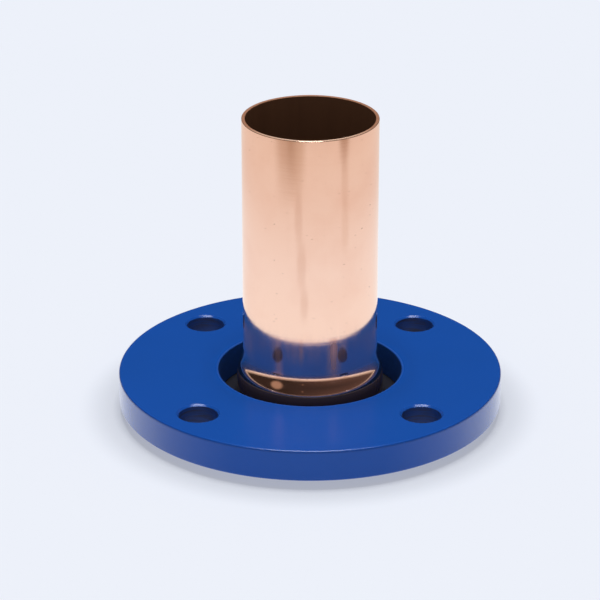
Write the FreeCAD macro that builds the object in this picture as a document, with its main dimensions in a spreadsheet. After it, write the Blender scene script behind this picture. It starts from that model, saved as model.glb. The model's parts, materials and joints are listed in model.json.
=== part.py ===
# Flange adaptor: a copper stub with a collar at its foot, and a loose steel flange that drops over it.
#
# Frame: millimetres, +Z up the tube, origin at the centre of the collar's sealing face.
# The collar meets the gasket below. The flange sits on the collar and turns freely round the neck,
# so that its bolt holes can be lined up with those of the flange that it is bolted to.

import FreeCAD, Part
import math
import os
import Sketcher

# Driving sizes, in millimetres, degrees or pieces. They add up to a 190.5 mm flange with a 91.4 mm bore
# and a 152.4 mm bolt circle, on a tube of 66.7 mm, 152.4 mm high from the sealing face.
SIZES = [
    ("tube_diameter", 66.675, "outside of the tube"),
    ("tube_wall", 1.65, "wall of the tube"),
    ("tube_length", 120.5, "plain tube above the shoulder"),
    ("tube_end_chamfer", 0.4, "deburred edges of the tube's open end"),
    ("shoulder_step", 3.06, "how far the neck stands out from the tube, at its radius"),
    ("shoulder_upper_bend", 18.0, "radius of the hollow bend where the shoulder leaves the tube"),
    ("shoulder_lower_bend", 20.5, "radius of the crowned bend where the shoulder meets the neck"),
    ("shoulder_sink", 3.65, "how far the shoulder starts below the flange's upper face"),
    ("neck_root_round", 3.0, "fillet between the neck and the collar"),
    ("neck_clearance", 9.3025, "gap between the neck and the flange's bore, at the radius"),
    ("collar_thickness", 4.6, "thickness of the collar"),
    ("collar_lap", 17.8, "how far the collar reaches under the flange, at the radius"),
    ("collar_chamfer", 0.6, "broken outer edges of the collar"),
    ("waterway_chamfer", 0.8, "broken edge of the waterway at the sealing face"),
    ("flange_thickness", 15.9, "thickness of the flange"),
    ("flange_edge_round", 1.0, "rounded upper edge of the flange's rim"),
    ("flange_foot_chamfer", 1.0, "broken lower edge of the flange's rim"),
    ("flange_bore_chamfer", 0.8, "broken edges of the flange's bore"),
    ("bolt_hole_diameter", 19.05, "bolt holes, for 16 mm or 5/8 inch bolts"),
    ("bolt_hole_chamfer", 1.0, "broken edges of the bolt holes"),
    ("bolt_hole_count", 4, "bolt holes, evenly spaced"),
    ("first_hole_angle", 45.0, "angle of the first bolt hole from the X axis"),
    ("collar_to_hole", 3.175, "gap between the collar's edge and the bolt holes"),
    ("hole_to_rim", 9.525, "flange left outside the bolt holes"),
]

# Formulas for the sizes that follow from those, so that pieces which meet share the same values.
TUBE_RADIUS = "(Sizes.tube_diameter / 2)"
WATERWAY_RADIUS = f"({TUBE_RADIUS} - Sizes.tube_wall)"
NECK_RADIUS = f"({TUBE_RADIUS} + Sizes.shoulder_step)"
FLANGE_BORE_RADIUS = f"({NECK_RADIUS} + Sizes.neck_clearance)"
COLLAR_RADIUS = f"({FLANGE_BORE_RADIUS} + Sizes.collar_lap)"
HOLE_RADIUS = "(Sizes.bolt_hole_diameter / 2)"
BOLT_CIRCLE_RADIUS = f"({COLLAR_RADIUS} + Sizes.collar_to_hole + {HOLE_RADIUS})"
FLANGE_RADIUS = f"({BOLT_CIRCLE_RADIUS} + {HOLE_RADIUS} + Sizes.hole_to_rim)"

# The shoulder is two tangent bends. Each takes its share of the step, and both lean by the same angle.
BENDS = "(Sizes.shoulder_upper_bend + Sizes.shoulder_lower_bend)"
LEAN_COSINE = f"(1 - Sizes.shoulder_step / {BENDS})"
LEAN_SINE = f"sqrt(1 - {LEAN_COSINE} * {LEAN_COSINE})"
BENDS_MEET_RADIUS = f"({NECK_RADIUS} - Sizes.shoulder_step * Sizes.shoulder_lower_bend / {BENDS})"

NECK_ROOT_RADIUS = f"({NECK_RADIUS} + Sizes.neck_root_round)"
NECK_ROOT_TOP = "(Sizes.collar_thickness + Sizes.neck_root_round)"
FLANGE_TOP = "(Sizes.collar_thickness + Sizes.flange_thickness)"
NECK_TOP = f"({FLANGE_TOP} - Sizes.shoulder_sink)"
BENDS_MEET_HEIGHT = f"({NECK_TOP} + Sizes.shoulder_lower_bend * {LEAN_SINE})"
SHOULDER_TOP = f"({NECK_TOP} + {BENDS} * {LEAN_SINE})"
TUBE_TOP = f"({SHOULDER_TOP} + Sizes.tube_length)"

NEAR = 1e-4
FULL_TURN = 360.0

document = FreeCAD.newDocument("FlangeAdaptor")


def make_sheet():
    """Writes the driving sizes to a spreadsheet, one row each: value, name and meaning."""
    sheet = document.addObject("Spreadsheet::Sheet", "Sizes")
    for row, (alias, size, meaning) in enumerate(SIZES, start=1):
        sheet.set(f"A{row}", str(size))
        sheet.setAlias(f"A{row}", alias)
        sheet.set(f"B{row}", meaning)
    document.recompute()
    return sheet


def value(formula):
    """The number that a formula of the sheet's sizes gives now."""
    return float(sheet.evalExpression(formula))


def origin_part(body, role):
    """A body's own origin plane or axis."""
    return next(part for part in body.Origin.OriginFeatures if part.Role == role)


def add_body(name):
    body = document.addObject("PartDesign::Body", name)
    body.Label = name
    return body


def add_sketch(body, name, plane):
    sketch = body.newObject("Sketcher::SketchObject", name)
    sketch.AttachmentSupport = (origin_part(body, plane), "")
    sketch.MapMode = "FlatFace"
    return sketch


def dimension(sketch, kind, references, name, formula):
    """Adds a named dimension to a sketch and ties it to the sheet."""
    index = sketch.addConstraint(Sketcher.Constraint(kind, *references, value(formula)))
    sketch.renameConstraint(index, name)
    sketch.setExpression(f"Constraints.{name}", formula)


def draw_outline(sketch, corners, bends):
    """Draws a closed outline of lines and arcs in an upright plane.

    corners maps each corner's name to the formulas of its radius and height, in order. bends maps the
    corner where an arc starts to the formula of its radius and to the side that its centre lies on:
    1 where the arc turns left on the way to the next corner, -1 where it turns right.
    """
    names = list(corners)
    points = {}
    for name, (radius, height) in corners.items():
        points[name] = FreeCAD.Vector(value(radius), value(height), 0)
    for index, name in enumerate(names):
        start = points[name]
        end = points[names[(index + 1) % len(names)]]
        if name not in bends:
            sketch.addGeometry(Part.LineSegment(start, end))
            continue
        radius, side = bends[name]
        chord = end - start
        normal = FreeCAD.Vector(-chord.y, chord.x, 0).normalize() * side
        rise = math.sqrt(value(radius) ** 2 - (chord.Length / 2) ** 2)
        centre = start + chord / 2 + normal * rise
        middle = centre - normal * value(radius)
        sketch.addGeometry(Part.Arc(start, middle, end))
        dimension(sketch, "Radius", (index,), f"{name}_bend", radius)
    # An arc can be kept the other way round, so the end of each edge that lies on a corner is looked up.
    for index, name in enumerate(names):
        before = (index - 1) % len(names)
        here = end_at(sketch, index, points[name])
        there = end_at(sketch, before, points[name])
        sketch.addConstraint(Sketcher.Constraint("Coincident", before, there, index, here))
        radius, height = corners[name]
        dimension(sketch, "DistanceX", (-1, 1, index, here), f"{name}_radius", radius)
        if height == "0":
            sketch.addConstraint(Sketcher.Constraint("PointOnObject", index, here, -1))
        else:
            dimension(sketch, "DistanceY", (-1, 1, index, here), f"{name}_height", height)


def end_at(sketch, index, point):
    """Which end of an edge, 1 for its start and 2 for its end, lies on a point."""
    start_gap = sketch.getPoint(index, 1).distanceToPoint(point)
    end_gap = sketch.getPoint(index, 2).distanceToPoint(point)
    return 1 if start_gap < end_gap else 2


def circle_edges(feature, radius, heights):
    """Names of a feature's round edges with this radius, at any of these heights."""
    found = []
    for number, edge in enumerate(feature.Shape.Edges, start=1):
        if not isinstance(edge.Curve, Part.Circle) or abs(edge.Curve.Radius - value(radius)) > NEAR:
            continue
        if any(abs(edge.Curve.Center.z - value(height)) < NEAR for height in heights):
            found.append(f"Edge{number}")
    if not found:
        raise RuntimeError(f"{feature.Label} has no round edge of radius {radius}")
    return found


def finish_edges(body, name, kind, edges, formula):
    """Rounds or chamfers edges of the body's last feature by a size of the sheet."""
    base = body.Tip
    finish = body.newObject(f"PartDesign::{kind}", name)
    finish.Base = (base, edges)
    amount = {"Fillet": "Radius", "Chamfer": "Size"}[kind]
    setattr(finish, amount, value(formula))
    finish.setExpression(amount, formula)
    document.recompute()
    return finish


def make_copper_stub():
    """Tube, shoulder, neck and collar, turned as one profile round the waterway."""
    body = add_body("copper_stub")
    profile = add_sketch(body, "stub_profile", "XZ_Plane")
    corners = {
        "sealing_face_inner": (WATERWAY_RADIUS, "0"),
        "sealing_face_outer": (COLLAR_RADIUS, "0"),
        "collar_top": (COLLAR_RADIUS, "Sizes.collar_thickness"),
        "neck_root_outer": (NECK_ROOT_RADIUS, "Sizes.collar_thickness"),
        "neck_root_top": (NECK_RADIUS, NECK_ROOT_TOP),
        "neck_top": (NECK_RADIUS, NECK_TOP),
        "bends_meet": (BENDS_MEET_RADIUS, BENDS_MEET_HEIGHT),
        "shoulder_top": (TUBE_RADIUS, SHOULDER_TOP),
        "tube_end_outer": (TUBE_RADIUS, TUBE_TOP),
        "tube_end_inner": (WATERWAY_RADIUS, TUBE_TOP),
    }
    bends = {
        "neck_root_outer": ("Sizes.neck_root_round", -1),
        "neck_top": ("Sizes.shoulder_lower_bend", 1),
        "bends_meet": ("Sizes.shoulder_upper_bend", -1),
    }
    draw_outline(profile, corners, bends)
    turned = body.newObject("PartDesign::Revolution", "stub_turned")
    turned.Profile = profile
    turned.ReferenceAxis = (profile, ["V_Axis"])
    turned.Angle = FULL_TURN
    document.recompute()

    rim = circle_edges(turned, TUBE_RADIUS, [TUBE_TOP]) + circle_edges(turned, WATERWAY_RADIUS, [TUBE_TOP])
    deburred = finish_edges(body, "tube_end_edges", "Chamfer", rim, "Sizes.tube_end_chamfer")
    collar_rim = circle_edges(deburred, COLLAR_RADIUS, ["0", "Sizes.collar_thickness"])
    collar = finish_edges(body, "collar_edges", "Chamfer", collar_rim, "Sizes.collar_chamfer")
    mouth = circle_edges(collar, WATERWAY_RADIUS, ["0"])
    finish_edges(body, "waterway_edge", "Chamfer", mouth, "Sizes.waterway_chamfer")
    return body


def make_backing_flange():
    """A flat ring with finished edges and a ring of bolt holes, resting on the collar."""
    body = add_body("backing_flange")
    ring = add_sketch(body, "ring_outline", "XY_Plane")
    for index, (name, radius) in enumerate([("rim", FLANGE_RADIUS), ("bore", FLANGE_BORE_RADIUS)]):
        ring.addGeometry(Part.Circle(FreeCAD.Vector(0, 0, 0), FreeCAD.Vector(0, 0, 1), value(radius)))
        ring.addConstraint(Sketcher.Constraint("Coincident", index, 3, -1, 1))
        dimension(ring, "Radius", (index,), name, radius)
    plate = body.newObject("PartDesign::Pad", "plate")
    plate.Profile = ring
    plate.Length = value("Sizes.flange_thickness")
    plate.setExpression("Length", "Sizes.flange_thickness")
    document.recompute()

    hole_place = add_sketch(body, "bolt_hole_place", "XY_Plane")
    across = f"({BOLT_CIRCLE_RADIUS} * cos(Sizes.first_hole_angle * 1 deg))"
    along = f"({BOLT_CIRCLE_RADIUS} * sin(Sizes.first_hole_angle * 1 deg))"
    centre = FreeCAD.Vector(value(across), value(along), 0)
    hole_place.addGeometry(Part.Circle(centre, FreeCAD.Vector(0, 0, 1), value(HOLE_RADIUS)))
    dimension(hole_place, "Radius", (0,), "hole_radius", HOLE_RADIUS)
    dimension(hole_place, "DistanceX", (-1, 1, 0, 3), "hole_across", across)
    dimension(hole_place, "DistanceY", (-1, 1, 0, 3), "hole_along", along)
    hole = body.newObject("PartDesign::Pocket", "bolt_hole")
    hole.Profile = hole_place
    hole.Type = "ThroughAll"
    hole.Reversed = True
    document.recompute()

    pattern = body.newObject("PartDesign::PolarPattern", "bolt_holes")
    pattern.Originals = [hole]
    pattern.Axis = (origin_part(body, "Z_Axis"), [""])
    pattern.Angle = FULL_TURN
    pattern.Occurrences = int(value("Sizes.bolt_hole_count"))
    pattern.setExpression("Occurrences", "Sizes.bolt_hole_count")
    body.Tip = pattern
    document.recompute()

    upper_rim = circle_edges(pattern, FLANGE_RADIUS, ["Sizes.flange_thickness"])
    rounded = finish_edges(body, "upper_rim_edge", "Fillet", upper_rim, "Sizes.flange_edge_round")
    lower_rim = circle_edges(rounded, FLANGE_RADIUS, ["0"])
    footed = finish_edges(body, "lower_rim_edge", "Chamfer", lower_rim, "Sizes.flange_foot_chamfer")
    faces = ["0", "Sizes.flange_thickness"]
    bore = circle_edges(footed, FLANGE_BORE_RADIUS, faces)
    broken = finish_edges(body, "bore_edges", "Chamfer", bore, "Sizes.flange_bore_chamfer")
    holes = circle_edges(broken, HOLE_RADIUS, faces)
    finish_edges(body, "bolt_hole_edges", "Chamfer", holes, "Sizes.bolt_hole_chamfer")
    body.setExpression("Placement.Base.z", "Sizes.collar_thickness")
    return body


def ring_volume(outer, inner, height):
    return math.pi * (value(outer) ** 2 - value(inner) ** 2) * value(height)


def check_document(bodies):
    """Stops the script if an object failed, a shape is unsound or the bolt holes cut nothing."""
    for item in document.Objects:
        if "Invalid" in item.State or "Error" in item.State:
            raise RuntimeError(f"{item.Label} failed: {item.State}")
    for body in bodies:
        if body.Shape.isNull() or not body.Shape.isValid() or len(body.Shape.Solids) != 1:
            raise RuntimeError(f"{body.Label} is not one sound solid")
    plate = document.getObject("plate").Shape.Volume
    drilled = document.getObject("bolt_holes").Shape.Volume
    one_hole = ring_volume(HOLE_RADIUS, "0", "Sizes.flange_thickness")
    count = value("Sizes.bolt_hole_count")
    if abs(plate - drilled - count * one_hole) > NEAR * plate:
        raise RuntimeError("the bolt holes don't all go through the flange")


sheet = make_sheet()
sub_parts = [make_copper_stub(), make_backing_flange()]
document.recompute()
check_document(sub_parts)

os.makedirs("parts", exist_ok=True)
for sub_part in sub_parts:
    sub_part.Shape.exportStep(f"parts/{sub_part.Label}.step")
    box = sub_part.Shape.BoundBox
    print(f"{sub_part.Label}: {sub_part.Shape.Volume:.0f} mm3, z {box.ZMin:.3f} to {box.ZMax:.3f}")
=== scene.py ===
"""Flange adaptor: a polished copper stub and the loose blue flange that it passes through.

Everything is in metres, in the frame's own axes: +Z up the tube, with the origin at the centre of the
sealing face. Radii and heights come from the frame where it states them.
"""

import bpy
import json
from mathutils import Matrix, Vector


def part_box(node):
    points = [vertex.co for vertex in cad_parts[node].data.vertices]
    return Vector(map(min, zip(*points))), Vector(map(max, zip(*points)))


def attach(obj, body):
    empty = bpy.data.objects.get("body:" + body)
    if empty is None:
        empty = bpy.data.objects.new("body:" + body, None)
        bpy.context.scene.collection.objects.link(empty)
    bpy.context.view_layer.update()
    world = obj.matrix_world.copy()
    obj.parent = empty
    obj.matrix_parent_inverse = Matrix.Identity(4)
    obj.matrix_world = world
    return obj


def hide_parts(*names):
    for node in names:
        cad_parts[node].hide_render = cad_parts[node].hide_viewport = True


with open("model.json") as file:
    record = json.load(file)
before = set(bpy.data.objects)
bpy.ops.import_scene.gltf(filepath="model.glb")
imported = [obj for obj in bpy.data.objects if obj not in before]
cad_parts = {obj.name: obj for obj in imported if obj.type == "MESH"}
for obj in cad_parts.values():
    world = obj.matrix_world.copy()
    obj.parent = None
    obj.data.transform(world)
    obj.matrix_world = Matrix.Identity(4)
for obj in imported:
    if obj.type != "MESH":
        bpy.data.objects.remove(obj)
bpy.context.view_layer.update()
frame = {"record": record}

import json
import math

import bpy
from bpy.props import FloatProperty, FloatVectorProperty, IntProperty, PointerProperty
from mathutils import Matrix, Vector

bl_info = {
    "name": "Flange Adaptor",
    "version": (1, 0, 0),
    "blender": (4, 5, 0),
    "location": "View3D > Sidebar > Flange Adaptor",
    "description": "Makes a copper stub, its loose backing flange and a studio to show them in",
    "category": "Object",
}

MM = 0.001


def mount(name):
    """The dimensions of one of the frame's mounts."""
    return next(each["dims"] for each in frame["record"]["mounts"] if each["name"] == name)


STUB_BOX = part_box("copper_stub")
FLANGE_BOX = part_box("backing_flange")
TUBE_RADIUS = mount("tube_end")["r_mm"] * MM
WATERWAY_RADIUS = mount("waterway")["r_mm"] * MM
BOLT_HOLE_RADIUS = mount("bolt_holes")["hole_r_mm"] * MM
BOLT_CIRCLE_RADIUS = mount("bolt_holes")["pcd_mm"] / 2 * MM
BOLT_HOLE_COUNT = mount("bolt_holes")["count"]

# Places of the inputs that share a name on the Mix node.
FACTOR, COLOUR_A, COLOUR_B, COLOUR_OUT = 0, 6, 7, 2

# Steps in the arcs of the profiles: a broken edge, the root fillet, a bend of the shoulder, a rounded wall.
EDGE_STEPS, ROOT_STEPS, BEND_STEPS, WALL_STEPS = 6, 12, 28, 8

# Where a finish of the stub, or the painted shade of its neck and collar, fades in or out, in mm above the
# sealing face.
COLLAR_SHADE_ENDS, NECK_ENDS, HEAT_STARTS, HAZE_ENDS = (7.6, 9), (20, 20.9), (27, 33), (45, 51)
# How far forward of the axis, in mm, a painted highlight brightens the sawn end.
HIGHLIGHT_FRONT = (14, 31)
# Share of the mirror that a sawn or unpolished face loses, its roughness, and that of the polish.
UNPOLISHED, DULL_ROUGHNESS, POLISH_ROUGHNESS = 0.6, 0.55, (0.07, 0.11)

# Sizes of the patterns in mm, across one streak, cloud, nick or ring, and depths where they show.
STREAK_WIDTH, TARNISH_CLOUD, OXIDE_CLOUD, COATING_CLOUD, NICK_WIDTH = 2, 22, 6, 35, 1.5
BELT_RING, BELT_RING_DEPTH = 1.3, 0.006
DRILL_RING, DRILL_RING_DEPTH = 1.2, 0.03
ORANGE_PEEL, ORANGE_PEEL_DEPTH = 1.4, 0.02

# A thin line of painted shade in the coating along the rim's upper edge, in mm: how far in from the rim it
# starts, how far below the upper face it lies, and how it fades above and below.
LINE_INSET, LINE_DEPTH, LINE_FADE = (0.7, 0.4), 0.75, (0.3, 0.8)
# How far from the bore's wall, in mm, the coating turns from dull to semi-gloss, and its coat to full gloss.
BORE_DULL, BORE_GLOSS = (0.4, 1.2), (0.3, 5)
BORE_ROUGHNESS, COATING_ROUGHNESS = 0.6, 0.22

# Wipe marks low on the tube: angle from the front and half width in degrees, strength, and lower end in mm.
WIPE_MARKS = [(-27, 5, 0.28, 24), (-14, 12, 0.2, 35), (-7.5, 4, 0.4, 35), (4, 12, 0.16, 35),
              (20.5, 9, 0.5, 26), (20, 7, 0.35, 35), (30, 6, 0.3, 35), (-32, 5, 0.25, 35),
              (-46, 14, 0.13, 36), (-76, 12, 0.35, 42), (52, 14, 0.1, 38), (74, 10, 0.25, 40),
              (-70, 20, 0.3, 30), (70, 24, 0.16, 30)]
# How far above its lower end a wipe mark reaches its full strength, in mm.
WIPE_FADE = 8

# How a mirror sees the floor: distance from the part in metres, up to FLOOR_REACH, and colour.
FLOOR_REACH = 4
MIRRORED_FLOOR = [(0.12, "#EDF1FA"), (0.135, "#FFFFFF"), (0.226, "#FAF9FA"), (0.335, "#F0E6E0"),
                  (0.437, "#EEE0D6"), (0.58, "#C0B2A6"), (0.95, "#A89A8F"), (1.6, "#BFB2A8"), (3, "#8F837A")]
# Soft dark patches of that floor, as if something stood there: centre and radius in metres, and colour.
DARK_PATCHES = [((-0.188, -0.442, 0), 0.17, "#E4DAD0"), ((-0.34, -0.4, 0), 0.22, "#DDD2C8"),
                ((-0.1, -0.3, 0), 0.05, "#F3EDEA"), ((-0.058, -0.24, 0), 0.045, "#F3EDEA"),
                ((-0.03, -0.19, 0), 0.03, "#F3EDEA"), ((0.41, -0.275, 0), 0.12, "#CBBBAE"),
                ((0.31, -0.2, 0), 0.06, "#F6F1EE"), ((0.25, -0.158, 0), 0.05, "#F8F4F1"),
                ((1.5, -1, 0), 1, "#C9BCB2"), ((-2, -1.6, 0), 1.3, "#D2C6BC")]
# Share of a patch's radius that is evenly dark.
PATCH_CORE = 0.35

# How the dark room turns from one wall to the next, along each axis of a mirrored ray's direction.
ROOM_ACROSS, ROOM_RISE, ROOM_BEHIND = (-0.6, 0.6), (0, 0.4), (0.45, 0.75)
# Small lamps in the dark room: azimuth from the front, elevation and radius in degrees, and colour.
ROOM_LAMPS = [(-55, 15.5, 9.5, "#A98E7B"), (-11.5, 10.5, 1.5, "#8A7060")]
# Where such a lamp's glow ends and where it is full, as shares of its radius.
LAMP_GLOW = (1.2, 0.7)

# The way from the part to each softbox.
OVERHEAD, ABOVE_THE_CAMERA = (0, 0, 1), (0, -0.34, 0.94)


# Small helpers

def linear(code):
    """An sRGB colour such as #1C4EA3 as linear red, green and blue."""
    channels = [int(code[start:start + 2], 16) / 255 for start in (1, 3, 5)]
    return [c / 12.92 if c <= 0.04045 else ((c + 0.055) / 1.055) ** 2.4 for c in channels]


def size(name, millimetres, description):
    """A length that a user can change, given in millimetres and kept in metres."""
    return FloatProperty(name=name, description=description, default=millimetres * MM, min=0, unit="LENGTH")


def colour(name, code, description):
    """A colour that a user can change, given as an sRGB code."""
    return FloatVectorProperty(name=name, description=description, default=linear(code), subtype="COLOR",
                               min=0, max=1)


def add_node(tree, kind, inputs=None, **settings):
    """Adds a node with its settings, and gives its inputs a value or another node's output."""
    node = tree.nodes.new(kind)
    for name, setting in settings.items():
        setattr(node, name, setting)
    for socket, given in (inputs or {}).items():
        if isinstance(given, bpy.types.NodeSocket):
            tree.links.new(given, node.inputs[socket])
        else:
            node.inputs[socket].default_value = given
    return node


def rgba(three):
    """A colour with full opacity, as the nodes want it."""
    return (*three, 1)


# Profiles

def arc(centre, radius, start, end, steps):
    """Points along an arc in the plane of radius and height, with its angles in degrees."""
    points = []
    for step in range(steps + 1):
        angle = math.radians(start + (end - start) * step / steps)
        points.append((centre[0] + radius * math.cos(angle), centre[1] + radius * math.sin(angle)))
    return points


def guard_flats(points, guard):
    """Adds a point just inside each end of a long straight stretch, which keeps its shading straight."""
    guarded = [points[0]]
    for start, end in zip(points, points[1:]):
        run = Vector(end) - Vector(start)
        if run.length > 4 * guard:
            step = run.normalized() * guard
            guarded += [tuple(Vector(start) + step), tuple(Vector(end) - step)]
        guarded.append(end)
    return guarded


def profile_mesh(name, points):
    """A chain of edges in the XZ plane, for turning round the Z axis."""
    mesh = bpy.data.meshes.new(name)
    corners = [(radius, 0, height) for radius, height in points]
    mesh.from_pydata(corners, [(n, n + 1) for n in range(len(corners) - 1)], [])
    return mesh


def stub_profile(sizes):
    """The stub's section, counter-clockwise from the waterway's mouth: collar, neck, shoulder and tube."""
    step = sizes.neck_radius - sizes.tube_radius
    bends = sizes.upper_bend + sizes.lower_bend
    lean = math.degrees(math.acos(1 - step / bends))
    neck_top = sizes.flange_top - sizes.shoulder_sink
    shoulder_top = neck_top + bends * math.sin(math.radians(lean))
    mouth, rim, end, root = sizes.mouth_round, sizes.collar_round, sizes.end_round, sizes.root_round
    points = arc((sizes.waterway_radius + mouth, mouth), mouth, 180, 270, EDGE_STEPS)
    points += arc((sizes.collar_radius - rim, rim), rim, 270, 360, EDGE_STEPS)
    points += arc((sizes.collar_radius - rim, sizes.collar_thickness - rim), rim, 0, 90, EDGE_STEPS)
    points += arc((sizes.neck_radius + root, sizes.collar_thickness + root), root, 270, 180, ROOT_STEPS)
    points += arc((sizes.neck_radius - sizes.lower_bend, neck_top), sizes.lower_bend, 0, lean, BEND_STEPS)
    upper = arc((sizes.tube_radius + sizes.upper_bend, shoulder_top), sizes.upper_bend, 180 + lean, 180,
                BEND_STEPS)
    points += upper[1:]
    points += arc((sizes.tube_radius - end, sizes.tube_top - end), end, 0, 90, EDGE_STEPS)
    points += arc((sizes.waterway_radius + end, sizes.tube_top - end), end, 90, 180, EDGE_STEPS)
    return guard_flats(points + points[:1], sizes.guard)


def wall_profile(radius, edge, steps, bottom, top, inward, guard):
    """A wall of the flange, with a strip of each flat face. An inward wall faces the axis.

    Its edges are rounded, or chamfered where the arc has one step.
    """
    side = 1 if inward else -1
    flank = radius + side * edge
    lead = flank + side * guard
    if inward:
        upper = arc((flank, top - edge), edge, 90, 180, steps)
        lower = arc((flank, bottom + edge), edge, 180, 270, steps)
        return [(lead, top)] + guard_flats(upper + lower, guard) + [(lead, bottom)]
    lower = arc((flank, bottom + edge), edge, 270, 360, steps)
    upper = arc((flank, top - edge), edge, 0, 90, steps)
    return [(lead, bottom)] + guard_flats(lower + upper, guard) + [(lead, top)]


# Geometry trees

def new_tree(name, inputs):
    """An empty geometry tree with named inputs, and its input and output nodes."""
    tree = bpy.data.node_groups.new(name, "GeometryNodeTree")
    for label, kind in inputs:
        tree.interface.new_socket(label, in_out="INPUT", socket_type=f"NodeSocket{kind}")
    tree.interface.new_socket("Geometry", in_out="OUTPUT", socket_type="NodeSocketGeometry")
    return tree, add_node(tree, "NodeGroupInput"), add_node(tree, "NodeGroupOutput")


def finish_tree(tree, geometry, source, output, weld):
    """Welds the seams, smooths the shading and gives the material: how both trees end."""
    whole = add_node(tree, "GeometryNodeRealizeInstances", {"Geometry": geometry})
    welded = add_node(tree, "GeometryNodeMergeByDistance", {"Geometry": whole.outputs[0], "Distance": weld})
    smooth = add_node(tree, "GeometryNodeSetShadeSmooth", {"Geometry": welded.outputs[0]})
    dressed = add_node(tree, "GeometryNodeSetMaterial",
                       {"Geometry": smooth.outputs[0], "Material": source.outputs["Material"]})
    tree.links.new(dressed.outputs[0], output.inputs[0])


def turning_tree(weld):
    """Turns a chain of points in the XZ plane round the Z axis: a grid with one row for each point."""
    tree, source, output = new_tree("Turned wall", [
        ("Profile", "Geometry"), ("Segments", "Int"), ("Material", "Material")])
    profile = source.outputs["Profile"]
    segments = source.outputs["Segments"]
    rows = add_node(tree, "GeometryNodeAttributeDomainSize", {"Geometry": profile}).outputs["Point Count"]
    columns = add_node(tree, "FunctionNodeIntegerMath", {0: segments, 1: 1}, operation="ADD").outputs[0]
    grid = add_node(tree, "GeometryNodeMeshGrid",
                    {"Vertices X": columns, "Vertices Y": rows}).outputs["Mesh"]
    index = add_node(tree, "GeometryNodeInputIndex").outputs[0]
    row = add_node(tree, "FunctionNodeIntegerMath", {0: index, 1: rows}, operation="MODULO").outputs[0]
    column = add_node(tree, "FunctionNodeIntegerMath", {0: index, 1: rows},
                      operation="DIVIDE_FLOOR").outputs[0]
    share = add_node(tree, "ShaderNodeMath", {0: column, 1: segments}, operation="DIVIDE").outputs[0]
    angle = add_node(tree, "ShaderNodeMath", {0: share, 1: math.tau}, operation="MULTIPLY").outputs[0]
    place = add_node(tree, "GeometryNodeInputPosition").outputs[0]
    point = add_node(tree, "GeometryNodeSampleIndex", data_type="FLOAT_VECTOR")
    tree.links.new(profile, point.inputs["Geometry"])
    tree.links.new(place, point.inputs["Value"])
    tree.links.new(row, point.inputs["Index"])
    turned = add_node(tree, "ShaderNodeVectorRotate", {"Vector": point.outputs[0], "Angle": angle},
                      rotation_type="Z_AXIS").outputs[0]
    wall = add_node(tree, "GeometryNodeSetPosition", {"Geometry": grid, "Position": turned}).outputs[0]
    finish_tree(tree, wall, source, output, weld)
    return tree


def plate_tree(weld):
    """Puts hole walls round the bolt circle and fills the two flat faces between all the walls."""
    tree, source, output = new_tree("Drilled plate", [
        ("Walls", "Geometry"), ("Hole wall", "Object"), ("Hole count", "Int"),
        ("Bolt circle radius", "Float"), ("First hole angle", "Float"), ("Bottom", "Float"),
        ("Top", "Float"), ("Material", "Material")])
    given = source.outputs
    ring = add_node(tree, "GeometryNodeMeshCircle",
                    {"Vertices": given["Hole count"], "Radius": given["Bolt circle radius"]}).outputs[0]
    turn = add_node(tree, "ShaderNodeCombineXYZ", {"Z": given["First hole angle"]}).outputs[0]
    places = add_node(tree, "GeometryNodeTransform", {"Geometry": ring, "Rotation": turn}).outputs[0]
    wall = add_node(tree, "GeometryNodeObjectInfo", {"Object": given["Hole wall"]}).outputs["Geometry"]
    holes = add_node(tree, "GeometryNodeInstanceOnPoints", {"Points": places, "Instance": wall}).outputs[0]
    holes = add_node(tree, "GeometryNodeRealizeInstances", {"Geometry": holes}).outputs[0]
    walls = add_node(tree, "GeometryNodeJoinGeometry", {"Geometry": given["Walls"]})
    tree.links.new(holes, walls.inputs[0])
    walls = walls.outputs[0]

    faces_beside = add_node(tree, "GeometryNodeInputMeshEdgeNeighbors").outputs[0]
    open_edge = add_node(tree, "FunctionNodeCompare", {2: faces_beside, 3: 1}, data_type="INT",
                         operation="EQUAL").outputs[0]
    place = add_node(tree, "GeometryNodeInputPosition").outputs[0]
    height = add_node(tree, "ShaderNodeSeparateXYZ", {0: place}).outputs["Z"]
    both = add_node(tree, "ShaderNodeMath", {0: given["Bottom"], 1: given["Top"]},
                    operation="ADD").outputs[0]
    middle = add_node(tree, "ShaderNodeMath", {0: both, 1: 0.5}, operation="MULTIPLY").outputs[0]
    parts = add_node(tree, "GeometryNodeJoinGeometry", {"Geometry": walls})
    for level, side, flip in [("Top", "GREATER_THAN", False), ("Bottom", "LESS_THAN", True)]:
        here = add_node(tree, "FunctionNodeCompare", {0: height, 1: middle}, operation=side).outputs[0]
        edge = add_node(tree, "FunctionNodeBooleanMath", {0: open_edge, 1: here}, operation="AND").outputs[0]
        loops = add_node(tree, "GeometryNodeMeshToCurve", {"Mesh": walls, "Selection": edge}).outputs[0]
        face = add_node(tree, "GeometryNodeFillCurve", {"Curve": loops}).outputs[0]
        if flip:
            face = add_node(tree, "GeometryNodeFlipFaces", {"Mesh": face}).outputs[0]
        lift = add_node(tree, "ShaderNodeCombineXYZ", {"Z": given[level]}).outputs[0]
        face = add_node(tree, "GeometryNodeTransform", {"Geometry": face, "Translation": lift}).outputs[0]
        tree.links.new(face, parts.inputs[0])
    finish_tree(tree, parts.outputs[0], source, output, weld)
    return tree


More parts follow.
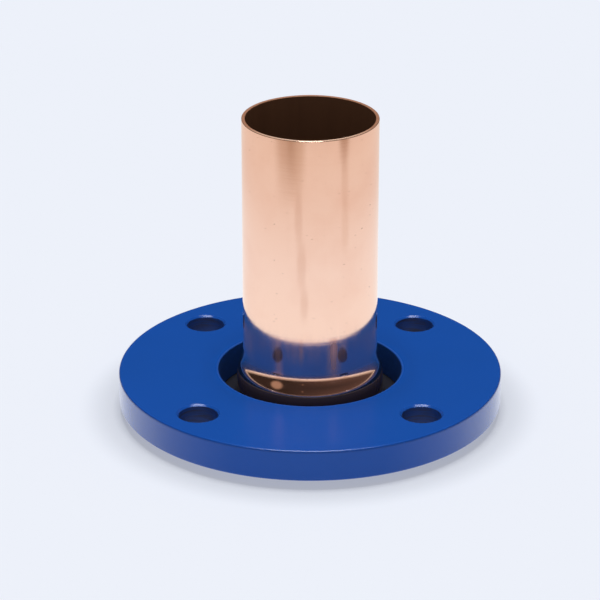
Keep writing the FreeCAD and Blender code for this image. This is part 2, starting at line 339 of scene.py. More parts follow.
def grow(name, mesh, tree, values):
    """Runs a tree on a mesh and keeps the result as an object with a plain mesh."""
    piece = bpy.data.objects.new(name, mesh)
    bpy.context.scene.collection.objects.link(piece)
    modifier = piece.modifiers.new(tree.name, "NODES")
    modifier.node_group = tree
    for item in tree.interface.items_tree:
        if item.in_out == "INPUT" and item.name in values:
            modifier[item.identifier] = values[item.name]
    shown = piece.evaluated_get(bpy.context.evaluated_depsgraph_get())
    plain = bpy.data.meshes.new_from_object(shown)
    plain.name = name
    if plain.materials[0] is None:
        plain.materials.pop(index=0)
    piece.modifiers.clear()
    piece.data = plain
    if not plain.polygons:
        raise RuntimeError(f"{name} came out empty")
    return piece


# Materials

def new_material(name):
    """An empty material, its Principled shader and its own millimetre coordinates."""
    material = bpy.data.materials.new(name)
    material.use_nodes = True
    tree = material.node_tree
    tree.nodes.clear()
    shader = add_node(tree, "ShaderNodeBsdfPrincipled")
    add_node(tree, "ShaderNodeOutputMaterial", {"Surface": shader.outputs[0]})
    place = add_node(tree, "ShaderNodeTexCoord").outputs["Object"]
    in_mm = add_node(tree, "ShaderNodeVectorMath", {0: place, "Scale": 1 / MM}, operation="SCALE").outputs[0]
    return material, tree, shader, in_mm


def polished_copper(finish, sizes):
    """Copper tube, drawn and then polished: a pink mirror, combed by the belt and wiped down in places.

    The sawn end of the tube, the neck in the bore and the collar under the flange are left dull; the sawn
    end carries a painted highlight at its front, and the neck and collar painted shade.
    """
    material, tree, shader, place = new_material("cold_drawn_polished_copper")
    parts = add_node(tree, "ShaderNodeSeparateXYZ", {0: place})
    height = parts.outputs["Z"]
    front = add_node(tree, "ShaderNodeMath", {0: parts.outputs["Y"], 1: -1}, operation="MULTIPLY").outputs[0]

    # Wipe marks: soft stripes down the tube, broken up along their length, that leave a warm haze.
    angle = add_node(tree, "ShaderNodeMath", {0: parts.outputs["X"], 1: front},
                     operation="ARCTAN2").outputs[0]
    hazed = 0
    for centre, half_width, strength, end in WIPE_MARKS:
        gap = add_node(tree, "ShaderNodeMath", {0: angle, 1: math.radians(centre)}, operation="SUBTRACT")
        gap = add_node(tree, "ShaderNodeMath", {0: gap.outputs[0]}, operation="ABSOLUTE").outputs[0]
        stripe = add_node(tree, "ShaderNodeMapRange",
                          {"Value": gap, "From Max": math.radians(half_width),
                           "To Min": strength, "To Max": 0},
                          interpolation_type="SMOOTHSTEP").outputs[0]
        reach = add_node(tree, "ShaderNodeMapRange",
                         {"Value": height, "From Min": end, "From Max": end + WIPE_FADE})
        hazed = add_node(tree, "ShaderNodeMath", {0: stripe, 1: reach.outputs[0], 2: hazed},
                         operation="MULTIPLY_ADD").outputs[0]
    along = add_node(tree, "ShaderNodeMapping", {"Vector": place, "Scale": (1, 1, 0.03)}).outputs[0]
    streaks = add_node(tree, "ShaderNodeTexNoise",
                       {"Vector": along, "Scale": 1 / STREAK_WIDTH, "Detail": 4}).outputs[0]
    hazed = add_node(tree, "ShaderNodeMath", {0: hazed, 1: streaks}, operation="MULTIPLY").outputs[0]
    low = add_node(tree, "ShaderNodeMapRange",
                   {"Value": height, "From Min": HAZE_ENDS[0], "From Max": HAZE_ENDS[1],
                    "To Min": 1, "To Max": 0}).outputs[0]
    hazed = add_node(tree, "ShaderNodeMath", {0: hazed, 1: low}, operation="MULTIPLY").outputs[0]

    # The sawn end and the neck in the bore are left dull. The front of the sawn end gets a painted
    # highlight, and the neck a painted shade where it lies in the gap to the bore.
    flat = add_node(tree, "ShaderNodeCombineXYZ", {0: parts.outputs["X"], 1: parts.outputs["Y"]}).outputs[0]
    radius = add_node(tree, "ShaderNodeVectorMath", {0: flat}, operation="LENGTH").outputs["Value"]
    sawn = add_node(tree, "ShaderNodeMath", {0: height, 1: (sizes.tube_top - sizes.end_round) / MM},
                    operation="GREATER_THAN").outputs[0]
    inner = add_node(tree, "ShaderNodeMath",
                     {0: radius, 1: (sizes.tube_radius - 0.8 * sizes.end_round) / MM},
                     operation="LESS_THAN").outputs[0]
    sawn = add_node(tree, "ShaderNodeMath", {0: sawn, 1: inner}, operation="MULTIPLY").outputs[0]
    # Painted highlight: the sawn end is brightened on its front half, towards the camera.
    painted_glint = add_node(tree, "ShaderNodeMapRange",
                     {"Value": front, "From Min": HIGHLIGHT_FRONT[0], "From Max": HIGHLIGHT_FRONT[1]}).outputs[0]
    painted_glint = add_node(tree, "ShaderNodeMath", {0: painted_glint, 1: sawn}, operation="MULTIPLY").outputs[0]
    # The collar under the flange is made rough, and its dark grey colour is a painted shade.
    under = add_node(tree, "ShaderNodeMapRange",
                     {"Value": height, "From Min": COLLAR_SHADE_ENDS[0], "From Max": COLLAR_SHADE_ENDS[1],
                      "To Min": 1, "To Max": 0}).outputs[0]
    # The neck in the bore is made less of a mirror, and its dark colour is a painted shade in the gap to the
    # bore.
    neck = add_node(tree, "ShaderNodeMapRange",
                    {"Value": height, "From Min": NECK_ENDS[0], "From Max": NECK_ENDS[1],
                     "To Min": 0.9, "To Max": 0}).outputs[0]
    worn = hazed
    for share in (sawn, neck):
        worn = add_node(tree, "ShaderNodeMath", {0: share, 1: UNPOLISHED, 2: worn},
                        operation="MULTIPLY_ADD").outputs[0]
    metal = add_node(tree, "ShaderNodeMath", {0: 1, 1: worn}, operation="SUBTRACT",
                     use_clamp=True).outputs[0]
    tree.links.new(metal, shader.inputs["Metallic"])
    rough = add_node(tree, "ShaderNodeMapRange",
                     {"Value": streaks, "From Min": 0.3, "From Max": 0.7,
                      "To Min": POLISH_ROUGHNESS[0], "To Max": POLISH_ROUGHNESS[1]})
    dull = add_node(tree, "ShaderNodeMath", {0: sawn, 1: under}, operation="MAXIMUM").outputs[0]
    dull = add_node(tree, "ShaderNodeMath", {0: dull, 1: DULL_ROUGHNESS}, operation="MULTIPLY").outputs[0]
    rough = add_node(tree, "ShaderNodeMath", {0: rough.outputs[0], 1: dull}, operation="MAXIMUM").outputs[0]
    tree.links.new(rough, shader.inputs["Roughness"])

    # Colour: a heat tint above the shoulder, faint clouds of tarnish, a few nicks, the haze of the wipe
    # marks, a darker sawn end with a painted highlight at its front, and painted shade on the neck in the
    # bore and on the collar under the flange.
    clouds = add_node(tree, "ShaderNodeTexNoise",
                      {"Vector": place, "Scale": 1 / TARNISH_CLOUD, "Detail": 4}).outputs[0]
    stained = add_node(tree, "ShaderNodeMapRange", {"Value": clouds, "From Min": 0.45, "From Max": 0.8,
                                                    "To Min": 0, "To Max": 0.2}).outputs[0]
    across = add_node(tree, "ShaderNodeMapping", {"Vector": place, "Scale": (0.5, 0.5, 1.6)}).outputs[0]
    nicks = add_node(tree, "ShaderNodeTexNoise",
                     {"Vector": across, "Scale": 1 / NICK_WIDTH, "Detail": 1}).outputs[0]
    nicks = add_node(tree, "ShaderNodeMapRange", {"Value": nicks, "From Min": 0.745, "From Max": 0.79,
                                                  "To Min": 0, "To Max": 0.45}).outputs[0]
    heated = add_node(tree, "ShaderNodeMapRange",
                      {"Value": height, "From Min": HEAT_STARTS[0], "From Max": HEAT_STARTS[1],
                       "To Min": 0, "To Max": 0.3}).outputs[0]
    heated = add_node(tree, "ShaderNodeMath", {0: heated, 1: low}, operation="MULTIPLY").outputs[0]
    wiped = add_node(tree, "ShaderNodeMapRange", {"Value": hazed, "From Max": 0.32}).outputs[0]
    tint = rgba(finish.copper)
    for share, shade in [(heated, finish.copper_heat), (stained, finish.copper_stain),
                         (nicks, finish.copper_nick), (wiped, finish.copper_haze),
                         (sawn, finish.copper_end), (painted_glint, finish.copper_painted_glint),
                         (neck, finish.copper_neck_shade), (under, finish.copper_collar_shade)]:
        tint = add_node(tree, "ShaderNodeMix", {FACTOR: share, COLOUR_A: tint, COLOUR_B: rgba(shade)},
                        data_type="RGBA").outputs[COLOUR_OUT]
    tree.links.new(tint, shader.inputs["Base Color"])

    # The real rings of the belt are finer than a picture can show, so they are drawn coarser.
    rings = add_node(tree, "ShaderNodeMapping", {"Vector": place, "Scale": (0.03, 0.03, 1)}).outputs[0]
    combed = add_node(tree, "ShaderNodeTexNoise",
                      {"Vector": rings, "Scale": 1 / BELT_RING, "Detail": 2}).outputs[0]
    bump = add_node(tree, "ShaderNodeBump",
                    {"Strength": 1, "Distance": BELT_RING_DEPTH * MM, "Height": combed})
    tree.links.new(bump.outputs[0], shader.inputs["Normal"])
    return material


def dull_copper(finish):
    """The waterway as the draw left it: copper under a matt brown oxide, which mirrors nothing."""
    material, tree, shader, place = new_material("oxidised_copper_waterway")
    shader.inputs["Roughness"].default_value = 0.6
    shader.inputs["Specular IOR Level"].default_value = 0.3
    along = add_node(tree, "ShaderNodeMapping", {"Vector": place, "Scale": (1, 1, 0.1)}).outputs[0]
    clouds = add_node(tree, "ShaderNodeTexNoise",
                      {"Vector": along, "Scale": 1 / OXIDE_CLOUD, "Detail": 4}).outputs[0]
    tint = add_node(tree, "ShaderNodeMix", {FACTOR: clouds, COLOUR_A: rgba(finish.waterway),
                                            COLOUR_B: rgba(finish.waterway_oxide)}, data_type="RGBA")
    tree.links.new(tint.outputs[COLOUR_OUT], shader.inputs["Base Color"])
    return material


def blue_coating(finish, sizes):
    """Steel flange, dip coated in nylon powder: a semi-gloss skin that turns glossy towards its edges.

    A line of painted shade darkens the rounded edge of the rim and takes its gloss, and the coating is
    duller in the bore.
    """
    material, tree, shader, place = new_material("blue_nylon_coated_steel")
    shader.inputs["Specular IOR Level"].default_value = 0.25
    shader.inputs["Coat Roughness"].default_value = 0.2
    shader.inputs["Coat IOR"].default_value = 1.55
    parts = add_node(tree, "ShaderNodeSeparateXYZ", {0: place})
    flat = add_node(tree, "ShaderNodeCombineXYZ", {0: parts.outputs["X"], 1: parts.outputs["Y"]}).outputs[0]
    radius = add_node(tree, "ShaderNodeVectorMath", {0: flat}, operation="LENGTH").outputs["Value"]
    rim, bore, top = sizes.rim_radius / MM, sizes.bore_radius / MM, sizes.top / MM
    # Painted shade: a dark line along the rim's rounded upper edge, which also takes the coat's gloss away.
    outer = add_node(tree, "ShaderNodeMapRange", {"Value": radius, "From Min": rim - LINE_INSET[0],
                                                  "From Max": rim - LINE_INSET[1]}).outputs[0]
    level = add_node(tree, "ShaderNodeMath", {0: parts.outputs["Z"], 1: top - LINE_DEPTH},
                     operation="SUBTRACT").outputs[0]
    away = add_node(tree, "ShaderNodeMath", {0: level}, operation="ABSOLUTE").outputs[0]
    line = add_node(tree, "ShaderNodeMapRange", {"Value": away, "From Min": LINE_FADE[0],
                                                 "From Max": LINE_FADE[1],
                                                 "To Min": 0.6, "To Max": 0}).outputs[0]
    edge = add_node(tree, "ShaderNodeMath", {0: outer, 1: line}, operation="MULTIPLY").outputs[0]
    clouds = add_node(tree, "ShaderNodeTexNoise",
                      {"Vector": place, "Scale": 1 / COATING_CLOUD, "Detail": 2}).outputs[0]
    tint = rgba(finish.blue)
    for share, shade in [(clouds, finish.blue_thin), (edge, finish.blue_edge_shade)]:
        tint = add_node(tree, "ShaderNodeMix", {FACTOR: share, COLOUR_A: tint, COLOUR_B: rgba(shade)},
                        data_type="RGBA").outputs[COLOUR_OUT]
    tree.links.new(tint, shader.inputs["Base Color"])
    facing = add_node(tree, "ShaderNodeLayerWeight", {"Blend": 0.5}).outputs["Facing"]
    gloss = add_node(tree, "ShaderNodeMapRange",
                     {"Value": facing, "From Min": 0.18, "From Max": 0.5}).outputs[0]
    clear = add_node(tree, "ShaderNodeMapRange", {"Value": radius, "From Min": bore + BORE_GLOSS[0],
                                                  "From Max": bore + BORE_GLOSS[1],
                                                  "To Min": 0.1}).outputs[0]
    off_the_line = add_node(tree, "ShaderNodeMath", {0: 1, 1: edge}, operation="SUBTRACT").outputs[0]
    for share in (clear, off_the_line):
        gloss = add_node(tree, "ShaderNodeMath", {0: gloss, 1: share}, operation="MULTIPLY").outputs[0]
    tree.links.new(gloss, shader.inputs["Coat Weight"])
    rough = add_node(tree, "ShaderNodeMapRange", {"Value": radius, "From Min": bore + BORE_DULL[0],
                                                  "From Max": bore + BORE_DULL[1], "To Min": BORE_ROUGHNESS,
                                                  "To Max": COATING_ROUGHNESS}).outputs[0]
    tree.links.new(rough, shader.inputs["Roughness"])
    peel = add_node(tree, "ShaderNodeTexNoise",
                    {"Vector": place, "Scale": 1 / ORANGE_PEEL, "Detail": 2}).outputs[0]
    bump = add_node(tree, "ShaderNodeBump",
                    {"Strength": 0.25, "Distance": ORANGE_PEEL_DEPTH * MM, "Height": peel})
    tree.links.new(bump.outputs[0], shader.inputs["Normal"])
    tree.links.new(bump.outputs[0], shader.inputs["Coat Normal"])
    return material


def drilled_wall(finish):
    """Walls of the bolt holes: a thin coat over the drill's rings, drawn coarse enough to show, both
    darkened by painted shade.
    """
    material, tree, shader, place = new_material("drilled_steel_with_painted_shade")
    shader.inputs["Roughness"].default_value = 0.45
    rings = add_node(tree, "ShaderNodeMapping", {"Vector": place, "Scale": (0.08, 0.08, 1)}).outputs[0]
    cut = add_node(tree, "ShaderNodeTexNoise",
                   {"Vector": rings, "Scale": 1 / DRILL_RING, "Detail": 2}).outputs[0]
    bare = add_node(tree, "ShaderNodeMapRange", {"Value": cut, "From Min": 0.42, "From Max": 0.7}).outputs[0]
    tint = add_node(tree, "ShaderNodeMix", {FACTOR: bare, COLOUR_A: rgba(finish.hole),
                                            COLOUR_B: rgba(finish.hole_bare)}, data_type="RGBA")
    tree.links.new(tint.outputs[COLOUR_OUT], shader.inputs["Base Color"])
    bump = add_node(tree, "ShaderNodeBump",
                    {"Strength": 0.4, "Distance": DRILL_RING_DEPTH * MM, "Height": cut})
    tree.links.new(bump.outputs[0], shader.inputs["Normal"])
    return material


# Studio

def paper_material(studio):
    """Seamless background paper, which takes light and shadow near the part, and a painted shadow round the
    flange.

    Farther out it glows in its own colour, so that it meets the backdrop without a seam. Mirrors see a floor
    that turns warmer and duller with distance, with soft dark patches.
    """
    material = bpy.data.materials.new("seamless_background_paper")
    material.use_nodes = True
    tree = material.node_tree
    tree.nodes.clear()
    path = add_node(tree, "ShaderNodeLightPath")
    place = add_node(tree, "ShaderNodeTexCoord").outputs["Object"]
    distance = add_node(tree, "ShaderNodeVectorMath", {0: place}, operation="LENGTH").outputs["Value"]
    glow = add_node(tree, "ShaderNodeMapRange", {"Value": distance, "From Min": studio.near_floor,
                                                 "From Max": studio.far_floor,
                                                 "To Min": studio.paper_glow}).outputs[0]
    own = add_node(tree, "ShaderNodeVectorMath", {0: studio.paper, "Scale": glow},
                   operation="SCALE").outputs[0]
    lit = add_node(tree, "ShaderNodeVectorMath", {0: studio.paper, 1: own}, operation="SUBTRACT").outputs[0]
    # A painted shadow: the paper's lit share is darkened in a soft ring round the flange, besides the
    # shadows the lamps cast.
    shadow = add_node(tree, "ShaderNodeMapRange", {"Value": distance, "From Min": studio.shadow_from,
                                                   "From Max": studio.shadow_to,
                                                   "To Min": 1 - studio.shadow_depth},
                      interpolation_type="SMOOTHSTEP").outputs[0]
    shaded = add_node(tree, "ShaderNodeVectorMath", {0: lit, "Scale": shadow}, operation="SCALE").outputs[0]

    share = add_node(tree, "ShaderNodeMath", {0: distance, 1: FLOOR_REACH}, operation="DIVIDE").outputs[0]
    ramp = add_node(tree, "ShaderNodeValToRGB", {0: share})
    for stop, (reach, code) in enumerate(MIRRORED_FLOOR):
        if stop > 1:
            ramp.color_ramp.elements.new(reach / FLOOR_REACH)
        ramp.color_ramp.elements[stop].position = reach / FLOOR_REACH
        ramp.color_ramp.elements[stop].color = rgba(linear(code))
    mirrored = ramp.outputs[0]
    for centre, radius, code in DARK_PATCHES:
        gap = add_node(tree, "ShaderNodeVectorMath", {0: place, 1: centre},
                       operation="DISTANCE").outputs["Value"]
        outside = add_node(tree, "ShaderNodeMapRange",
                           {"Value": gap, "From Min": PATCH_CORE * radius, "From Max": radius},
                           interpolation_type="SMOOTHSTEP").outputs[0]
        shade = add_node(tree, "ShaderNodeMix",
                         {FACTOR: outside, COLOUR_A: rgba(linear(code)), COLOUR_B: (1, 1, 1, 1)},
                         data_type="RGBA").outputs[COLOUR_OUT]
        mirrored = add_node(tree, "ShaderNodeVectorMath", {0: mirrored, 1: shade},
                            operation="MULTIPLY").outputs[0]
    mirrored = add_node(tree, "ShaderNodeVectorMath", {0: mirrored, 1: shaded},
                        operation="SUBTRACT").outputs[0]
    shown = add_node(tree, "ShaderNodeMix", {FACTOR: path.outputs["Is Glossy Ray"], COLOUR_A: own,
                                             COLOUR_B: mirrored}, data_type="RGBA").outputs[COLOUR_OUT]
    matt = add_node(tree, "ShaderNodeBsdfDiffuse", {"Color": shaded})
    light = add_node(tree, "ShaderNodeEmission", {"Color": shown})
    surface = add_node(tree, "ShaderNodeAddShader", {0: matt.outputs[0], 1: light.outputs[0]}).outputs[0]
    add_node(tree, "ShaderNodeOutputMaterial", {"Surface": surface})
    return material


def make_floor(studio):
    """A wide sheet of the background paper at the height of the sealing face."""
    half = studio.floor_width / 2
    mesh = bpy.data.meshes.new("studio_floor")
    corners = [(-half, -half, 0), (half, -half, 0), (half, half, 0), (-half, half, 0)]
    mesh.from_pydata(corners, [], [(0, 1, 2, 3)])
    mesh.materials.append(paper_material(studio))
    floor = bpy.data.objects.new("studio_floor", mesh)
    bpy.context.scene.collection.objects.link(floor)


def make_world(studio):
    """A pale backdrop to the camera, a soft fill on matt surfaces and a dark room with lamps in mirrors."""
    world = bpy.data.worlds.new("studio_room")
    world.use_nodes = True
    bpy.context.scene.world = world
    tree = world.node_tree
    tree.nodes.clear()
    path = add_node(tree, "ShaderNodeLightPath")
    direction = add_node(tree, "ShaderNodeTexCoord").outputs["Generated"]
    parts = add_node(tree, "ShaderNodeSeparateXYZ", {0: direction}).outputs
    room = rgba(studio.room_left)
    for axis, (start, end), shade in [("X", ROOM_ACROSS, studio.room_right),
                                      ("Z", ROOM_RISE, studio.room_high),
                                      ("Y", ROOM_BEHIND, studio.room_behind)]:
        share = add_node(tree, "ShaderNodeMapRange",
                         {"Value": parts[axis], "From Min": start, "From Max": end}).outputs[0]
        room = add_node(tree, "ShaderNodeMix", {FACTOR: share, COLOUR_A: room, COLOUR_B: rgba(shade)},
                        data_type="RGBA").outputs[COLOUR_OUT]
    for azimuth, elevation, radius, code in ROOM_LAMPS:
        turn, tilt = math.radians(azimuth), math.radians(elevation)
        towards = (math.sin(turn) * math.cos(tilt), -math.cos(turn) * math.cos(tilt), math.sin(tilt))
        near = add_node(tree, "ShaderNodeVectorMath", {0: direction, 1: towards},
                        operation="DOT_PRODUCT").outputs["Value"]
        inside = add_node(tree, "ShaderNodeMapRange",
                          {"Value": near, "From Min": math.cos(math.radians(radius * LAMP_GLOW[0])),
                           "From Max": math.cos(math.radians(radius * LAMP_GLOW[1]))}).outputs[0]
        room = add_node(tree, "ShaderNodeMix",
                        {FACTOR: inside, COLOUR_A: room, COLOUR_B: rgba(linear(code))},
                        data_type="RGBA").outputs[COLOUR_OUT]
    fill = add_node(tree, "ShaderNodeBackground", {"Strength": studio.fill})
    mirrored = add_node(tree, "ShaderNodeBackground", {"Color": room})
    backdrop = add_node(tree, "ShaderNodeBackground", {"Color": rgba(studio.paper)})
    dark = add_node(tree, "ShaderNodeMixShader", {0: path.outputs["Is Glossy Ray"], 1: fill.outputs[0],
                                                  2: mirrored.outputs[0]})
    through = add_node(tree, "ShaderNodeMath", {0: path.outputs["Is Camera Ray"],
                                                1: path.outputs["Is Transmission Ray"]},
                       operation="MAXIMUM").outputs[0]
    sky = add_node(tree, "ShaderNodeMixShader", {0: through, 1: dark.outputs[0], 2: backdrop.outputs[0]})
    add_node(tree, "ShaderNodeOutputWorld", {"Surface": sky.outputs[0]})


def make_lamp(name, direction, distance, width, depth, brightness):
    """A softbox that faces the part. Its brightness is that of its cloth, where 1 is white."""
    data = bpy.data.lights.new(name, "AREA")
    data.shape = "RECTANGLE"
    data.size = width
    data.size_y = depth
    data.energy = brightness * math.pi * width * depth
    lamp = bpy.data.objects.new(name, data)
    lamp.location = Vector(direction).normalized() * distance
    lamp.rotation_euler = Vector(direction).to_track_quat("Z", "Y").to_euler()
    lamp.visible_camera = False
    bpy.context.scene.collection.objects.link(lamp)
    return lamp


def make_camera(studio):
    """The camera of the photograph: a long lens that looks down on the flange at 23 degrees."""
    pitch, yaw, roll = studio.camera_pitch, studio.camera_yaw, studio.camera_roll
    forward = Vector((math.sin(yaw) * math.cos(pitch), math.cos(yaw) * math.cos(pitch), -math.sin(pitch)))
    level = Vector((math.cos(yaw), -math.sin(yaw), 0))
    upright = level.cross(forward)
    right = math.cos(roll) * level + math.sin(roll) * upright
    up = math.cos(roll) * upright - math.sin(roll) * level
    data = bpy.data.cameras.new("camera")
    data.lens = studio.lens
    data.clip_end = 50
    camera = bpy.data.objects.new("camera", data)
    turn = Matrix((right, up, -forward)).transposed().to_4x4()
    camera.matrix_world = Matrix.Translation(studio.camera_place) @ turn
    bpy.context.scene.collection.objects.link(camera)
    bpy.context.scene.camera = camera


# What a user can change

class StubSizes(bpy.types.PropertyGroup):
    tube_radius: size("Tube radius", TUBE_RADIUS / MM, "Outside radius of the tube")
    waterway_radius: size("Waterway radius", WATERWAY_RADIUS / MM, "Inside radius of the tube")
    tube_top: size("Tube top", STUB_BOX[1].z / MM, "Height of the tube's open end")
    end_round: size("End round", 0.2, "Deburred edges of the tube's open end")
    neck_radius: size("Neck radius", 36.3975, "Radius of the neck inside the flange")
    upper_bend: size("Upper bend", 18, "Radius of the shoulder's hollow bend, next to the tube")
    lower_bend: size("Lower bend", 20.5, "Radius of the shoulder's crowned bend, next to the neck")
    shoulder_sink: size("Shoulder sink", 3.65, "How far the shoulder starts below the flange's upper face")
    flange_top: size("Flange top", FLANGE_BOX[1].z / MM, "Height of the flange's upper face")
    root_round: size("Root round", 3, "Fillet between the neck and the collar")
    collar_radius: size("Collar radius", STUB_BOX[1].x / MM, "Radius of the collar")
    collar_thickness: size("Collar thickness", FLANGE_BOX[0].z / MM, "Thickness of the collar")
    collar_round: size("Collar round", 0.5, "Broken outer edges of the collar")
    mouth_round: size("Mouth round", 0.8, "Broken edge of the waterway at the sealing face")
    guard: size("Guard", 0.3, "Distance of the extra edge loops beside each bend")
    weld: size("Weld", 0.002, "Distance within which the seams are welded")
    segments: IntProperty(name="Segments", description="Facets round the stub", default=288, min=12)


class FlangeSizes(bpy.types.PropertyGroup):
    rim_radius: size("Rim radius", FLANGE_BOX[1].x / MM, "Outside radius of the flange")
    bore_radius: size("Bore radius", 45.7, "Radius of the bore round the neck")
    bottom: size("Bottom", FLANGE_BOX[0].z / MM, "Height of the lower face")
    top: size("Top", FLANGE_BOX[1].z / MM, "Height of the upper face")
    rim_round: size("Rim round", 1, "Rounded edges of the rim")
    bore_round: size("Bore round", 0.5, "Rounded edges of the bore")
    hole_radius: size("Hole radius", BOLT_HOLE_RADIUS / MM, "Radius of the bolt holes")
    hole_chamfer: size("Hole chamfer", 1, "Chamfered edges of the bolt holes")
    bolt_circle_radius: size("Bolt circle radius", BOLT_CIRCLE_RADIUS / MM, "Radius of the bolt circle")
    hole_count: IntProperty(name="Hole count", description="Bolt holes", default=BOLT_HOLE_COUNT, min=1)
    first_hole_angle: FloatProperty(name="First hole angle", unit="ROTATION", default=math.radians(45),
                                    description="Angle of the first bolt hole from X")
    guard: size("Guard", 0.25, "Width of the flat strip beside each rounded edge")
    weld: size("Weld", 0.002, "Distance within which the seams are welded")
    segments: IntProperty(name="Segments", description="Facets round the rim and bore", default=288,
                          min=12)
    hole_segments: IntProperty(name="Hole segments", description="Facets round a bolt hole", default=96,
                               min=12)


class Finishes(bpy.types.PropertyGroup):
    copper: colour("Copper", "#FAD6C3", "Polished copper")
    copper_stain: colour("Copper stain", "#E2A184", "Copper where it has begun to tarnish")
    copper_end: colour("Copper end", "#BD876A", "Sawn end of the tube")
    # Painted highlight: the colour that brightens the front of the sawn end.
    copper_painted_glint: colour("Copper filed", "#FFD6BA", "Sawn end where a file has brightened it")
    copper_heat: colour("Copper heat tint", "#FFB8C1", "Violet tint of the heat above the formed shoulder")
    copper_haze: colour("Copper haze", "#FAB49C", "Warm haze of the wipe marks")
    copper_nick: colour("Copper nick", "#9A6A55", "Small dark nicks in the polished copper")
    # Painted shade: the dark colour of the neck in the gap to the bore.
    copper_neck_shade: colour("Copper neck", "#3F3650", "Neck in the bore, which was never polished")
    # Painted shade: the dark grey of the collar in the gap under the flange.
    copper_collar_shade: colour("Copper collar", "#2B2B35", "Collar under the flange, where dirt greys it")
    waterway: colour("Waterway", "#7A5238", "Brown oxide inside the tube")
    waterway_oxide: colour("Waterway oxide", "#6B462F", "Darker oxide inside the tube")
    blue: colour("Blue", "#1556B7", "Blue coating")
    blue_thin: colour("Blue, thin", "#1553AE", "Blue coating where it is thinner")
    # Painted shade: the dark line along the rim's rounded edge.
    blue_edge_shade: colour("Blue, edge", "#0E3C86", "Blue coating along the rim's rounded edge")
    # Painted shade: both hole colours are darkened for the shade inside the holes; the rings are the
    # drill's.
    hole: colour("Hole", "#134391", "Thin coat in the bolt holes")
    hole_bare: colour("Hole, bare", "#2B3152", "Steel that shows through in the bolt holes")


class Studio(bpy.types.PropertyGroup):
    paper: colour("Paper", "#EDF1FA", "Pale background")
    paper_glow: FloatProperty(name="Paper glow", default=0.45, min=0, max=1,
                              description="Share of the paper's colour that no shadow takes")
    floor_width: size("Floor width", 40000, "Side of the square floor")
    near_floor: size("Near floor", 200, "Distance where the paper starts to glow")
    far_floor: size("Far floor", 600, "Distance where the paper only glows")
    # The painted soft shadow round the flange.
    shadow_from: size("Shadow from", 95, "Distance where the soft shadow is deepest")
    shadow_to: size("Shadow to", 118, "Distance where the soft shadow ends")
    shadow_depth: FloatProperty(name="Shadow depth", default=0.4, min=0, max=1,
                                description="Share of light that the soft shadow takes")
    room_left: colour("Room left", "#342923", "Dark room in mirrors, on the left")
    room_right: colour("Room right", "#5C4944", "Dark room in mirrors, on the right")
    room_high: colour("Room high", "#3A302E", "Dark room in mirrors, high up")
    room_behind: colour("Room behind", "#1E1C1B", "Dark room in mirrors, behind the part")
    fill: FloatProperty(name="Fill", default=0.3, description="Soft light from all round on matt surfaces")
    lamp_distance: size("Lamp distance", 5000, "Distance of both softboxes")
    lamp_width: size("Lamp width", 1700, "Side of the overhead softbox")
    lamp_brightness: FloatProperty(name="Lamp brightness", default=21.6,
                                   description="Brightness of the overhead softbox's cloth")
    strip_width: size("Strip width", 4200, "Length of the softbox for the flange's gloss")
    strip_depth: size("Strip depth", 1600, "Width of the softbox for the flange's gloss")
    strip_brightness: FloatProperty(name="Strip brightness", default=14,
                                    description="Brightness of that softbox's cloth")
    lens: FloatProperty(name="Lens", description="Focal length in millimetres", default=175.23)
    camera_place: FloatVectorProperty(name="Camera place", description="Where the camera stands",
                                      default=(-0.0005, -1.32598, 0.62893), subtype="TRANSLATION",
                                      unit="LENGTH")
    camera_pitch: FloatProperty(name="Camera pitch", description="How far the camera looks down",
                                default=math.radians(23.338), unit="ROTATION")
    camera_yaw: FloatProperty(name="Camera yaw", description="How far the camera turns from +Y",
                              default=math.radians(-0.194), unit="ROTATION")
    camera_roll: FloatProperty(name="Camera roll", description="How far the camera leans",
                               default=math.radians(0.028), unit="ROTATION")


# Operators

class MakeCopperStub(bpy.types.Operator):
    """Turns the copper stub: tube, shoulder, neck and collar in one piece"""

    bl_idname = "flange_adaptor.copper_stub"
    bl_label = "Copper Stub"

    def execute(self, context):
        sizes = context.scene.stub_sizes
        finish = context.scene.finishes
        profile = profile_mesh("stub_profile", stub_profile(sizes))
        stub = grow("turned_stub", profile, turning_tree(sizes.weld),
                    {"Segments": sizes.segments, "Material": polished_copper(finish, sizes)})
        stub.data.materials.append(dull_copper(finish))
        wall = (sizes.waterway_radius + sizes.tube_radius) / 2
        for face in stub.data.polygons:
            inside = Vector(face.center).xy.length < wall
            if inside and face.center.z < sizes.tube_top - sizes.end_round:
                face.material_index = 1
        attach(stub, "stub")
        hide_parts("copper_stub")
        return {"FINISHED"}


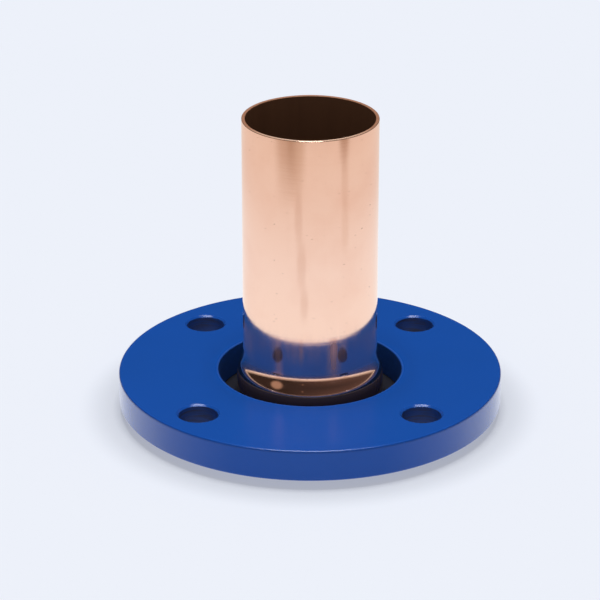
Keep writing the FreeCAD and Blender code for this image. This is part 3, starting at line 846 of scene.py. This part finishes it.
class MakeBackingFlange(bpy.types.Operator):
    """Makes the blue flange: rim, bore and bolt holes with rounded edges, and two flat faces"""

    bl_idname = "flange_adaptor.backing_flange"
    bl_label = "Backing Flange"

    def execute(self, context):
        sizes = context.scene.flange_sizes
        material = blue_coating(context.scene.finishes, sizes)
        turning = turning_tree(sizes.weld)
        walls = []
        for name, radius, edge, steps, inward, segments in [
            ("rim_wall", sizes.rim_radius, sizes.rim_round, WALL_STEPS, False, sizes.segments),
            ("bore_wall", sizes.bore_radius, sizes.bore_round, WALL_STEPS, True, sizes.segments),
            ("hole_wall", sizes.hole_radius, sizes.hole_chamfer, 1, True, sizes.hole_segments),
        ]:
            points = wall_profile(radius, edge, steps, sizes.bottom, sizes.top, inward, sizes.guard)
            walls.append(grow(name, profile_mesh(name, points), turning,
                              {"Segments": segments, "Material": material}))
        rim, bore, hole = walls
        with context.temp_override(active_object=rim, selected_editable_objects=[rim, bore]):
            bpy.ops.object.join()
        flange = grow("coated_flange", rim.data, plate_tree(sizes.weld), {
            "Hole wall": hole, "Hole count": sizes.hole_count,
            "Bolt circle radius": sizes.bolt_circle_radius, "First hole angle": sizes.first_hole_angle,
            "Bottom": sizes.bottom, "Top": sizes.top, "Material": material})
        bpy.data.objects.remove(rim)
        bpy.data.objects.remove(hole)
        flange.data.materials.append(drilled_wall(context.scene.finishes))
        centres = [sizes.first_hole_angle + math.tau * n / sizes.hole_count for n in range(sizes.hole_count)]
        centres = [sizes.bolt_circle_radius * Vector((math.cos(turn), math.sin(turn))) for turn in centres]
        for face in flange.data.polygons:
            place = Vector(face.center)
            # The wall's facets lie just inside the hole's radius, so a hair more takes them all.
            in_hole = any((place.xy - centre).length < 1.02 * sizes.hole_radius for centre in centres)
            if in_hole and place.z < sizes.top - sizes.hole_chamfer:
                face.material_index = 1
        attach(flange, "flange")
        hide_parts("backing_flange")
        return {"FINISHED"}


class MakeStudio(bpy.types.Operator):
    """Makes the floor, the backdrop, the lamps and the camera"""

    bl_idname = "flange_adaptor.studio"
    bl_label = "Studio"

    def execute(self, context):
        studio = context.scene.studio
        make_floor(studio)
        make_world(studio)
        make_lamp("overhead_softbox", OVERHEAD, studio.lamp_distance, studio.lamp_width, studio.lamp_width,
                  studio.lamp_brightness)
        strip = make_lamp("strip_softbox", ABOVE_THE_CAMERA, studio.lamp_distance, studio.strip_width,
                          studio.strip_depth, studio.strip_brightness)
        strip.visible_diffuse = False
        # A flag keeps this softbox off the copper: only the flange has it on its edges.
        flange = bpy.data.objects.get("coated_flange")
        if flange:
            lit = bpy.data.collections.new("lit_by_the_strip")
            lit.objects.link(flange)
            strip.light_linking.receiver_collection = lit
        make_camera(studio)
        context.scene.view_settings.view_transform = "Standard"
        return {"FINISHED"}


class FlangeAdaptorPanel(bpy.types.Panel):
    """Sizes, finishes and the operators that make the pieces"""

    bl_idname = "VIEW3D_PT_flange_adaptor"
    bl_label = "Flange Adaptor"
    bl_space_type = "VIEW_3D"
    bl_region_type = "UI"
    bl_category = "Flange Adaptor"

    def draw(self, context):
        for operator in OPERATORS:
            self.layout.operator(operator.bl_idname)
        for group in GROUPS:
            box = self.layout.box()
            for name in GROUPS[group].__annotations__:
                box.prop(getattr(context.scene, group), name)


GROUPS = {"stub_sizes": StubSizes, "flange_sizes": FlangeSizes, "finishes": Finishes, "studio": Studio}
OPERATORS = [MakeCopperStub, MakeBackingFlange, MakeStudio]
CLASSES = [*GROUPS.values(), *OPERATORS, FlangeAdaptorPanel]


def register():
    for each in CLASSES:
        bpy.utils.register_class(each)
    for name, group in GROUPS.items():
        setattr(bpy.types.Scene, name, PointerProperty(type=group))


def unregister():
    for name in GROUPS:
        delattr(bpy.types.Scene, name)
    for each in reversed(CLASSES):
        bpy.utils.unregister_class(each)


def main():
    register()
    bpy.ops.flange_adaptor.copper_stub()
    bpy.ops.flange_adaptor.backing_flange()
    bpy.ops.flange_adaptor.studio()


if __name__ == "__main__":
    main()
